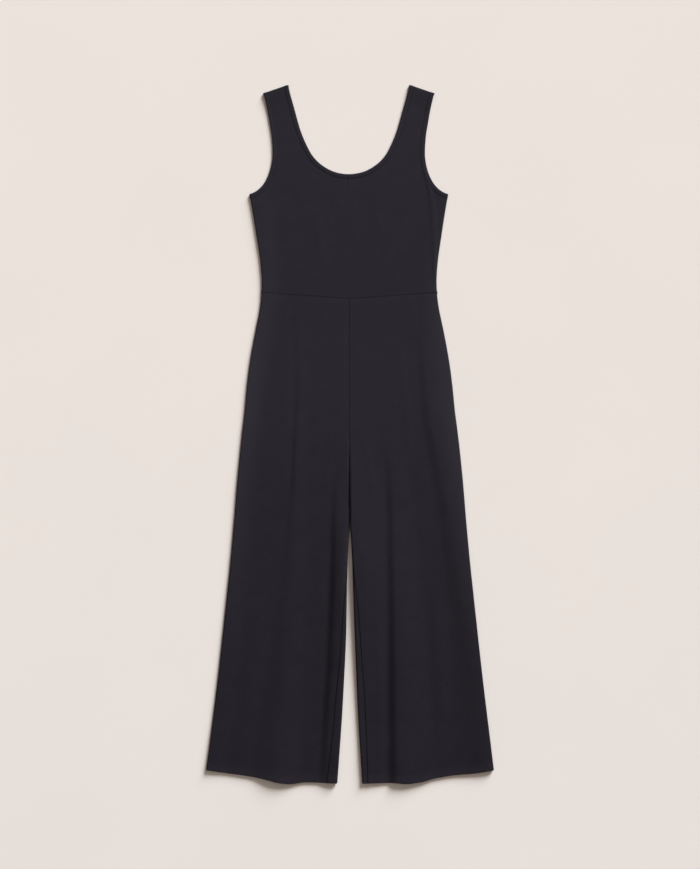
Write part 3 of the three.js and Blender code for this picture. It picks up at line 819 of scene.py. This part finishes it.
print("cloth panels")
panels = {
    "frontBodice": bodicePanel("frontBodice", front),
    "backBodice": bodicePanel("backBodice", back),
}
for leg in legs:
    for word, face in (("front", front), ("back", back)):
        name = f"{word}Leg{leg['title']}"
        panels[name] = legPanel(name, leg, face)

print("bindings")
bindings = {"neckBinding": bindingLoop("neckBinding", neckPlace, neckCurve["length"], False, neckRound)}
for leg in legs:
    name = f"armholeBinding{leg['title']}"
    strip = armholeRound(leg["side"])
    bindings[name] = bindingLoop(name, armholePlace, armholeCurve["length"], True, strip)

# Stitches: one is modelled and set along the strips' sewn lines and the hems' two rows
stitch = {
    "length": 2.9,
    "pitch": 3.5,
    "radius": 0.2,
    "wide": 1.3,            # how much wider than high the pulled thread lies
    "sides": 6,
    "sunk": 0.17,
    "rings": (              # level, scale and shift: it thins and dips towards its ends
        (1, (0.35, 0.35, 1), -0.55), (0.5, (0.85, 0.85, 1.6), 0.15), (0, (1, 1, 1), 0.55),
    ),
    "lineStep": 1.5,        # of the line of points that a hem row follows
    "lineEnd": 0.4,
}


# One stitch of unit radius, from -1 to 1 along Z
def modelStitch():
    bpy.ops.mesh.primitive_cylinder_add(
        vertices=stitch["sides"], radius=1, depth=2, end_fill_type="NGON", location=(0, 0, 0),
    )
    piece = bpy.context.object
    bpy.ops.object.mode_set(mode="EDIT")
    bpy.ops.mesh.select_mode(type="EDGE")
    bpy.ops.mesh.select_all(action="DESELECT")
    bpy.ops.object.mode_set(mode="OBJECT")
    for edge in piece.data.edges:
        start, end = (piece.data.vertices[i].co.z for i in edge.vertices)
        edge.select = abs(end - start) > 1
    bpy.ops.object.mode_set(mode="EDIT")
    bpy.ops.mesh.subdivide(number_cuts=3)
    bpy.ops.mesh.select_mode(type="VERT")
    for level, scale, shift in stitch["rings"]:
        bpy.ops.mesh.select_all(action="DESELECT")
        bpy.ops.object.mode_set(mode="OBJECT")
        for vertex in piece.data.vertices:
            vertex.select = abs(abs(vertex.co.z) - level) < 0.1
        bpy.ops.object.mode_set(mode="EDIT")
        bpy.ops.transform.resize(value=scale, center_override=(0, 0, 0))
        bpy.ops.transform.translate(value=(0, shift, 0))
    bpy.ops.mesh.select_all(action="SELECT")
    bpy.ops.transform.resize(value=(stitch["wide"], 1, 1), center_override=(0, 0, 0))
    bpy.ops.mesh.normals_make_consistent(inside=False)
    bpy.ops.object.mode_set(mode="OBJECT")
    points = np.array([vertex.co[:] for vertex in piece.data.vertices])
    faces = [np.array(polygon.vertices) for polygon in piece.data.polygons]
    bpy.data.objects.remove(piece)
    return points, faces


stitchPoints, stitchFaces = modelStitch()


# Stitches along a closed line of points on the cloth, each bent to the line
def stitchRow(name, points, normals):
    points = np.vstack([points, points[:1]])
    normals = np.vstack([normals, normals[:1]])
    steps = np.linalg.norm(np.diff(points, axis=0), axis=1)
    distance = np.concatenate([[0], np.cumsum(steps)])
    count = int(distance[-1] / stitch["pitch"])
    centres = (np.arange(count) + 0.5) * distance[-1] / count
    at = centres[:, None] + stitchPoints[None, :, 2] * stitch["length"] / 2
    ends = centres[:, None] + np.array([[-1, 1]]) * stitch["length"] / 2
    place = sampled(at, distance, points)
    up = sampled(at, distance, normals)
    tips = sampled(ends, distance, points)
    up /= np.linalg.norm(up, axis=-1, keepdims=True)
    ahead = tips[:, 1:] - tips[:, :1]
    ahead /= np.linalg.norm(ahead, axis=-1, keepdims=True)
    across = np.cross(up, ahead)
    place += across * (stitchPoints[None, :, :1] * stitch["radius"])
    place += up * (stitchPoints[None, :, 1:2] * stitch["radius"] - stitch["sunk"])
    faces = []
    for number in range(count):
        faces += [(face + number * len(stitchPoints)).tolist() for face in stitchFaces]
    return addPiece(name, place.reshape(-1, 3), faces, {})


# The stitches on a strip, on the line where it is sewn
def stripStitches(name, place, strip):
    lines = []
    for face, side, distance in strip:
        inward = np.full_like(distance, bindingStitch)
        points, normals = onStrip(face, side, *place(distance, inward))
        lines.append((points + normals * bindingProfile(inward)[:, None], normals))
    return stitchRow(name, *(np.vstack(values) for values in zip(*lines)))


print("stitches")
stitches = {"neckStitches": stripStitches("neckStitches", neckPlace, neckRound)}
for leg in legs:
    name = f"armholeStitches{leg['title']}"
    stitches[name] = stripStitches(name, armholePlace, armholeRound(leg["side"]))


# The line of one row of stitches round a leg's hem
def hemLoop(leg, height):
    section = legSection(leg, np.array(levels["hemLow"] + height))
    end = float(section["full"]) - stitch["lineEnd"]
    ways = np.concatenate([
        np.arange(end, 0, -stitch["lineStep"]), -np.arange(0, end, stitch["lineStep"]),
    ])
    y = np.full_like(ways, levels["hemLow"] + height)
    for _ in range(meshing["settle"]):
        out = np.abs(legSurface(leg, ways, y)[..., 0])
        y = hemLine(leg, out) + height
    points, normals = onLeg(leg, ways, y)
    return points + normals * cloth["wall"] / 2, normals


for leg in legs:
    for number, height in enumerate(hem["rows"]):
        name = f"hemStitches{leg['title']}{number + 1}"
        stitches[name] = stitchRow(name, *hemLoop(leg, height))


# Shader values that add their Math nodes as an expression is written
class Field:
    def __init__(self, finish, socket):
        self.finish = finish
        self.socket = socket

    def math(self, operation, first, second=0.0):
        node = self.finish.node("ShaderNodeMath", {"operation": operation}, {0: first, 1: second})
        return Field(self.finish, node.outputs[0])

    def __add__(self, other):
        return self.math("ADD", self, other)

    def __sub__(self, other):
        return self.math("SUBTRACT", self, other)

    def __rsub__(self, other):
        return self.math("SUBTRACT", other, self)

    def __mul__(self, other):
        return self.math("MULTIPLY", self, other)

    def sine(self):
        return self.math("SINE", self)

    def absolute(self):
        return self.math("ABSOLUTE", self)

    def fraction(self):
        return self.math("FRACT", self)


class Finish:
    def __init__(self, name):
        self.material = bpy.data.materials.new(name)
        self.material.use_nodes = True
        self.tree = self.material.node_tree
        self.shader = self.tree.nodes["Principled BSDF"]
        self.place = self.node("ShaderNodeTexCoord").outputs["Object"]

    def node(self, kind, settings=None, inputs=None):
        made = self.tree.nodes.new(kind)
        for key, value in (settings or {}).items():
            setattr(made, key, value)
        for key, value in (inputs or {}).items():
            self.feed(made.inputs[key], value)
        return made

    def feed(self, socket, value):
        if isinstance(value, Field):
            self.tree.links.new(value.socket, socket)
        elif isinstance(value, bpy.types.NodeSocket):
            self.tree.links.new(value, socket)
        else:
            socket.default_value = value

    def dress(self, values):
        for name, value in values.items():
            self.feed(self.shader.inputs[name], value)

    def field(self, node, output=0):
        return Field(self, node.outputs[output])

    def noise(self, scale, detail, roughness=0.5):
        inputs = {"Vector": self.place, "Scale": scale, "Detail": detail, "Roughness": roughness}
        return self.field(self.node("ShaderNodeTexNoise", {}, inputs), "Fac")

    def bump(self, look, height):
        inputs = {"Strength": look["bump"], "Distance": look["bumpHeight"], "Height": height}
        return self.node("ShaderNodeBump", {}, inputs).outputs["Normal"]

    def blend(self, share, low, high):
        inputs = {"Factor": share, 6: low, 7: high}
        return self.node("ShaderNodeMix", {"data_type": "RGBA"}, inputs).outputs[2]


jersey = {
    "dark": (0.0122, 0.0104, 0.0153, 1),
    "light": (0.0247, 0.0224, 0.0298, 1),
    # paler cloth, for wear and for the painted side sheen
    "wearAndPaintedSheen": (0.0290, 0.0266, 0.0342, 1),
    # painted shade for the seams
    "sunk": (0.0010, 0.0008, 0.0014, 1),
    "paintedSheenUp": 0.25,     # painted sheen: paler towards the neck, so the legs are a little darker than the bodice
    "wale": 0.95,           # width of one knit column in millimetres
    "course": 0.75,
    "lean": 0.45,           # how far a V stitch leans, in courses
    "round": 0.6,           # how high the columns stand, and the stitches on them
    "vees": 0.25,
    "fuzz": (2600, 3, 0.7),     # each noise's scale, detail and roughness
    "mottle": (34, 4, 0.55),
    "slub": (420, 2, 0.6),
    "tint": {"mottle": 0.2, "slub": 0.45, "fuzz": 0.35},
    "tintRange": (0.2, 0.8),
    "paling": (0.7, 0.3),      # worn cloth and the painted side sheen pale evenly and by the slubs
    "seamShadeShare": 0.8,
    "relief": {"knit": 0.5, "fuzz": 0.8, "slub": 0.5},
    "bump": 0.8,
    "bumpHeight": 0.00010,
    "roughness": 0.72,
    "roughnessSpread": 0.2,
    "sheen": 0.01,
    "sheenRoughness": 0.5,
    "sheenTint": (0.86, 0.84, 1, 1),
    "specular": 0.07,
}


# Fine jersey: columns of small V stitches, a soft mottle, paler cloth along worn edges and painted
# sheen at the sides, painted shade in the seams, and a painted sheen that pales it towards the neck
def jerseyFinish(name, tone):
    finish = Finish(name)
    parts = finish.node("ShaderNodeSeparateXYZ", {}, {"Vector": finish.place})
    x = finish.field(parts, "X")
    y = finish.field(parts, "Y")
    wale = x * (1000 / jersey["wale"])
    course = y * (1000 / jersey["course"])
    across = (wale.fraction() - 0.5).absolute() * 2
    stitches = ((course + across * jersey["lean"]) * (2 * math.pi)).sine()
    knit = (1 - across * across) * jersey["round"] + stitches * jersey["vees"]
    fuzz = finish.noise(*jersey["fuzz"])
    mottle = finish.noise(*jersey["mottle"])
    slub = finish.noise(*jersey["slub"])
    # The paler mark carries wear and painted sheen; the sunk mark carries painted shade in the seams
    wearAndPaintedSheen = finish.field(finish.node("ShaderNodeAttribute", {"attribute_name": "wearAndPaintedSheen"}), "Fac")
    sunk = finish.field(finish.node("ShaderNodeAttribute", {"attribute_name": "sunk"}), "Fac")
    shares = jersey["tint"]
    tint = mottle * shares["mottle"] + slub * shares["slub"] + fuzz * shares["fuzz"]
    low, high = jersey["tintRange"]
    # The mottle's tone, with a painted sheen that pales the cloth towards the neck
    mottleAndPaintedSheen = finish.field(finish.node("ShaderNodeMapRange", {}, {
        "Value": tint + y * jersey["paintedSheenUp"], "From Min": low, "From Max": high,
    }))
    dark, light = ([c * tone for c in jersey[key][:3]] + [1] for key in ("dark", "light"))
    body = finish.blend(mottleAndPaintedSheen, dark, light)
    # Paler cloth: wear, and painted sheen beside the sides
    evenly, bySlub = jersey["paling"]
    pale = finish.blend(wearAndPaintedSheen * (slub * bySlub + evenly), body, jersey["wearAndPaintedSheen"])
    # Painted shade in the seams
    colour = finish.blend(sunk * jersey["seamShadeShare"], pale, jersey["sunk"])
    least = jersey["roughness"] - jersey["roughnessSpread"] / 2
    roughness = slub * jersey["roughnessSpread"] + least
    relief = jersey["relief"]
    height = knit * relief["knit"] + fuzz * relief["fuzz"] + slub * relief["slub"]
    finish.dress({
        "Base Color": colour, "Roughness": roughness, "Normal": finish.bump(jersey, height),
        "Sheen Weight": jersey["sheen"], "Sheen Roughness": jersey["sheenRoughness"],
        "Sheen Tint": jersey["sheenTint"], "Specular IOR Level": jersey["specular"],
    })
    return finish.material


thread = {
    "colour": (0.011, 0.0092, 0.0137, 1),
    "pale": (0.018, 0.0156, 0.0218, 1),
    "strands": (3200, 2),   # scale and detail
    "bump": 0.5,
    "bumpHeight": 0.00008,
    "roughness": 0.62,
    "roughnessSpread": 0.15,
    "specular": 0.1,
}


# Twisted polyester thread
def threadFinish(name):
    finish = Finish(name)
    strands = finish.noise(*thread["strands"])
    colour = finish.blend(strands, thread["colour"], thread["pale"])
    roughness = strands * thread["roughnessSpread"] + thread["roughness"]
    finish.dress({
        "Base Color": colour, "Roughness": roughness, "Normal": finish.bump(thread, strands),
        "Specular IOR Level": thread["specular"],
    })
    return finish.material


stage = {
    "size": 14.0,
    "grain": (3, 3),        # scale and detail
    "paintedLightUp": 0.5,         # painted light: the floor is paler by this for each metre towards the neck
    "dark": (0.835, 0.778, 0.734, 1),
    "light": (0.880, 0.815, 0.754, 1),
    "roughness": 0.95,
    "specular": 0.05,
}


# Pale matt paper, with painted light that makes it paler towards the neck
def floorFinish(name):
    finish = Finish(name)
    parts = finish.node("ShaderNodeSeparateXYZ", {}, {"Vector": finish.place})
    # Grain, with painted light that pales the floor towards the neck
    grain = finish.noise(*stage["grain"]) + finish.field(parts, "Y") * stage["paintedLightUp"]
    colour = finish.blend(grain, stage["dark"], stage["light"])
    finish.dress({
        "Base Color": colour, "Roughness": stage["roughness"],
        "Specular IOR Level": stage["specular"],
    })
    return finish.material


print("finishes")
jerseyCloth = jerseyFinish("jerseyCloth", 1.0)
bindingCloth = jerseyFinish("bindingCloth", 1.03)
sewingThread = threadFinish("sewingThread")
for piece in panels.values():
    piece.data.materials.append(jerseyCloth)
for piece in bindings.values():
    piece.data.materials.append(bindingCloth)
for piece in stitches.values():
    piece.data.materials.append(sewingThread)

nodeOf = {
    "frontBodice": "front_bodice", "backBodice": "back_bodice",
    "frontLegRight": "front_leg_right", "frontLegLeft": "front_leg_left",
    "backLegRight": "back_leg_right", "backLegLeft": "back_leg_left",
    "neckBinding": "neck_binding",
    "armholeBindingRight": "armhole_binding_right", "armholeBindingLeft": "armhole_binding_left",
}
for name, piece in {**panels, **bindings}.items():
    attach(piece, "root")
    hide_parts(nodeOf[name])
for piece in stitches.values():
    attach(piece, "root")

bpy.ops.mesh.primitive_grid_add(x_subdivisions=8, y_subdivisions=8, size=stage["size"])
floor = bpy.context.object
floor.name = "floor"
floor.data.materials.append(floorFinish("palePaper"))
bpy.ops.object.select_all(action="DESELECT")

# Straight from above, the long side of the picture spans 1.738 m
view = {"lens": 70.0, "span": 1.738, "sensor": 36.0}
lights = {
    "key": {
        "strength": 6.4, "elevation": 19.8, "azimuth": 59.0, "angle": 27.0,
        "colour": (0.96, 0.993, 1.04),
    },
    "overhead": {
        "strength": 0.42, "elevation": 75.0, "azimuth": 52.0, "angle": 110.0,
        "colour": (1.06, 1.0, 0.95),
    },
}
room = {"strength": 0.13, "colour": (1.18, 0.98, 0.80, 1)}

cameraData = bpy.data.cameras.new("overhead")
cameraData.lens = view["lens"]
cameraData.sensor_width = view["sensor"]
camera = bpy.data.objects.new("overhead", cameraData)
camera.location = (0, 0, view["span"] * view["lens"] / view["sensor"])
bpy.context.collection.objects.link(camera)
bpy.context.scene.camera = camera

for name, setting in lights.items():
    elevation = math.radians(setting["elevation"])
    azimuth = math.radians(setting["azimuth"])
    towards = Vector((
        math.cos(azimuth) * math.cos(elevation),
        math.sin(azimuth) * math.cos(elevation),
        math.sin(elevation),
    ))
    lampData = bpy.data.lights.new(name, "SUN")
    lampData.energy = setting["strength"]
    lampData.color = setting["colour"]
    lampData.angle = math.radians(setting["angle"])
    lamp = bpy.data.objects.new(name, lampData)
    lamp.rotation_euler = towards.to_track_quat("Z", "Y").to_euler()
    bpy.context.collection.objects.link(lamp)

world = bpy.data.worlds.new("studio")
world.use_nodes = True
world.node_tree.nodes["Background"].inputs["Color"].default_value = room["colour"]
world.node_tree.nodes["Background"].inputs["Strength"].default_value = room["strength"]
bpy.context.scene.world = world
bpy.context.scene.view_settings.view_transform = "Standard"

print("stage and light")
